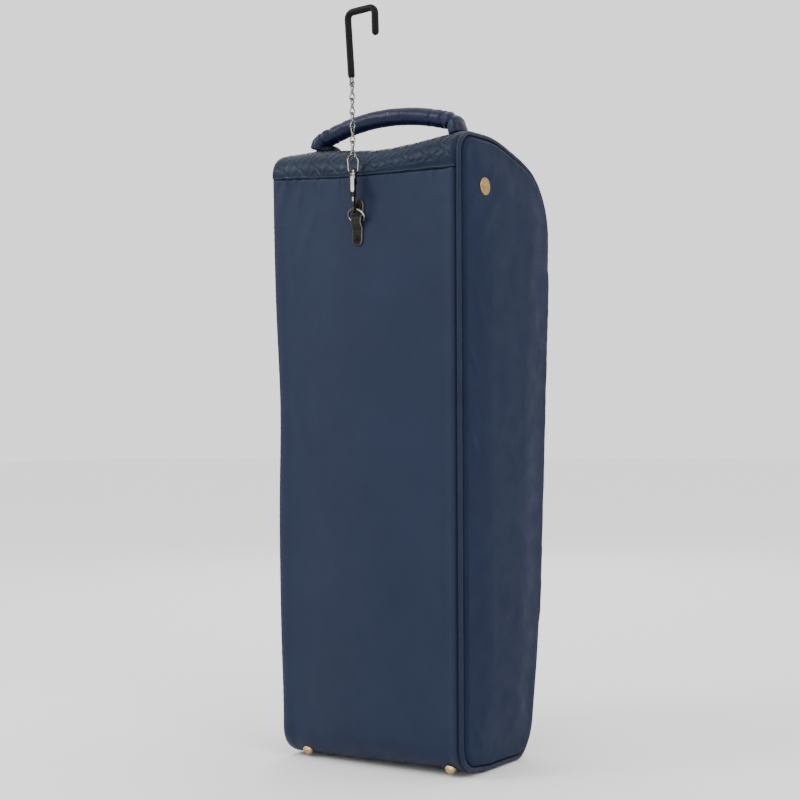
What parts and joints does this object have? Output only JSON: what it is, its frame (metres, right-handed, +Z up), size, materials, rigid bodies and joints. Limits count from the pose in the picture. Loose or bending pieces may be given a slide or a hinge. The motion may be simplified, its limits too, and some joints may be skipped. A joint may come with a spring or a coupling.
{
  "type": "garment bag",
  "caption": "Tall hanging bag with a domed zip door, piped side panels, embossed top band, rolled handle, small feet, and a chain with a bolt snap and coated hook",
  "frame": {"origin": "centre of the bounding box in X and Y, at the level of the feet", "axes": "+Z up, the flat hook face looks to -Y, the zip door looks to +Y, +X to the right when facing the hook face"},
  "size_m": [0.2722, 0.232, 0.8482],
  "materials": {
    "cloth": "satin woven nylon, navy",
    "leather": "embossed coated leather, navy",
    "lining": "plain woven lining",
    "board": "stiffening board",
    "tape": "zip tape with coil, and webbing",
    "gold": "polished gold plate",
    "steel": "plain zinc-plated steel",
    "gunmetal": "gunmetal casting",
    "black_paint": "black painted steel",
    "black_pvc": "PVC dip coating",
    "core": "foam cord core"
  },
  "bodies": {
    "bag": {"back_panel": "cloth", "top_band": "leather", "door_frame": "cloth", "bottom_panel": "cloth", "back_board": "board", "base_board": "board", "lining": "lining", "side_panel_left": "cloth", "side_panel_right": "cloth", "piping_left": "leather", "piping_right": "leather", "side_cap_left": "gold", "side_cap_right": "gold", "side_cap_washer_left": "steel", "side_cap_washer_right": "steel", "zip_tape_outer": "tape", "handle_tab_left": "leather", "handle_tab_right": "leather", "hanging_bracket": "black_paint", "bracket_backing_plate": "steel", "bracket_rivet_top": "black_paint", "bracket_rivet_low": "black_paint", "inner_loop": "tape", "foot_hook_left": "gold", "foot_washer_hook_left": "steel", "foot_hook_right": "gold", "foot_washer_hook_right": "steel", "foot_door_left": "gold", "foot_washer_door_left": "steel", "foot_door_right": "gold", "foot_washer_door_right": "steel"},
    "flap": {"front_flap": "cloth", "flap_lining": "lining", "zip_tape_inner": "tape"},
    "slider": {"zip_slider": "gunmetal"},
    "pull": {"zip_pull_tab": "gunmetal"},
    "handle": {"handle_cover": "leather", "handle_core": "core"},
    "inner_ring": {"inner_ring": "steel"},
    "ring": {"d_ring": "steel"},
    "snap": {"snap_body": "gunmetal"},
    "bolt": {"snap_bolt": "steel"},
    "eye": {"swivel_eye": "steel"},
    "link_1": {"chain_link_1": "steel"},
    "link_2": {"chain_link_2": "steel"},
    "link_3": {"chain_link_3": "steel"},
    "link_4": {"chain_link_4": "steel"},
    "link_5": {"chain_link_5": "steel"},
    "hook": {"hook_rod": "steel", "hook_sleeve": "black_pvc"}
  },
  "joints": [
    {"name": "handle_hinge", "type": "hinge", "parent": "bag", "child": "handle", "pos_m": [0, -0.0465, 0.711], "axis": [1, 0, 0], "range_deg": [-30, 30]},
    {"name": "flap_hinge", "type": "hinge", "parent": "bag", "child": "flap", "pos_m": [0, 0.07906, 0.13012], "axis": [-1, 0, 0], "range_deg": [0, 95]},
    {"name": "zip_slide", "type": "slide", "parent": "bag", "child": "slider", "axis": [0.0077, 0.0652, 0.9978], "range_m": [0, 0.425]},
    {"name": "pull_hinge", "type": "hinge", "parent": "slider", "child": "pull", "pos_m": [0.10384, 0.08552, 0.16095], "axis": [1, 0, 0], "range_deg": [0, 150]},
    {"name": "inner_ring_swing", "type": "hinge", "parent": "bag", "child": "inner_ring", "pos_m": [0, -0.0796, 0.5994], "axis": [1, 0, 0], "range_deg": [-8, 60]},
    {"name": "ring_pivot", "type": "hinge", "parent": "bag", "child": "ring", "pos_m": [0, -0.0969, 0.611], "axis": [1, 0, 0], "range_deg": [0, 105]},
    {"name": "snap_pivot", "type": "hinge", "parent": "ring", "child": "snap", "pos_m": [0, -0.10572, 0.62314], "axis": [-1, 0, 0], "range_deg": [-75, 0]},
    {"name": "bolt_slide", "type": "slide", "parent": "snap", "child": "bolt", "axis": [0, 0, 1], "range_m": [0, 0.007], "stiffness_N_per_m": 150, "springref_m": -0.004},
    {"name": "eye_spin", "type": "hinge", "parent": "snap", "child": "eye", "pos_m": [0, -0.106, 0.66], "axis": [0, 0, 1], "continuous": true},
    {"name": "link_1_pivot", "type": "hinge", "parent": "eye", "child": "link_1", "pos_m": [0, -0.106, 0.6807], "axis": [-1, 0, 0], "range_deg": [-55, 25]},
    {"name": "link_2_pivot", "type": "hinge", "parent": "link_1", "child": "link_2", "pos_m": [0, -0.106, 0.699], "axis": [0, 1, 0], "range_deg": [-60, 60]},
    {"name": "link_3_pivot", "type": "hinge", "parent": "link_2", "child": "link_3", "pos_m": [0, -0.106, 0.7129], "axis": [1, 0, 0], "range_deg": [-25, 75]},
    {"name": "link_4_pivot", "type": "hinge", "parent": "link_3", "child": "link_4", "pos_m": [0, -0.106, 0.731], "axis": [0, -1, 0], "range_deg": [-60, 60]},
    {"name": "link_5_pivot", "type": "hinge", "parent": "link_4", "child": "link_5", "pos_m": [0, -0.106, 0.7449], "axis": [-1, 0, 0], "range_deg": [-75, 25]},
    {"name": "hook_pivot", "type": "hinge", "parent": "link_5", "child": "hook", "pos_m": [0, -0.106, 0.763], "axis": [0, 1, 0], "range_deg": [-60, 60]}
  ]
}
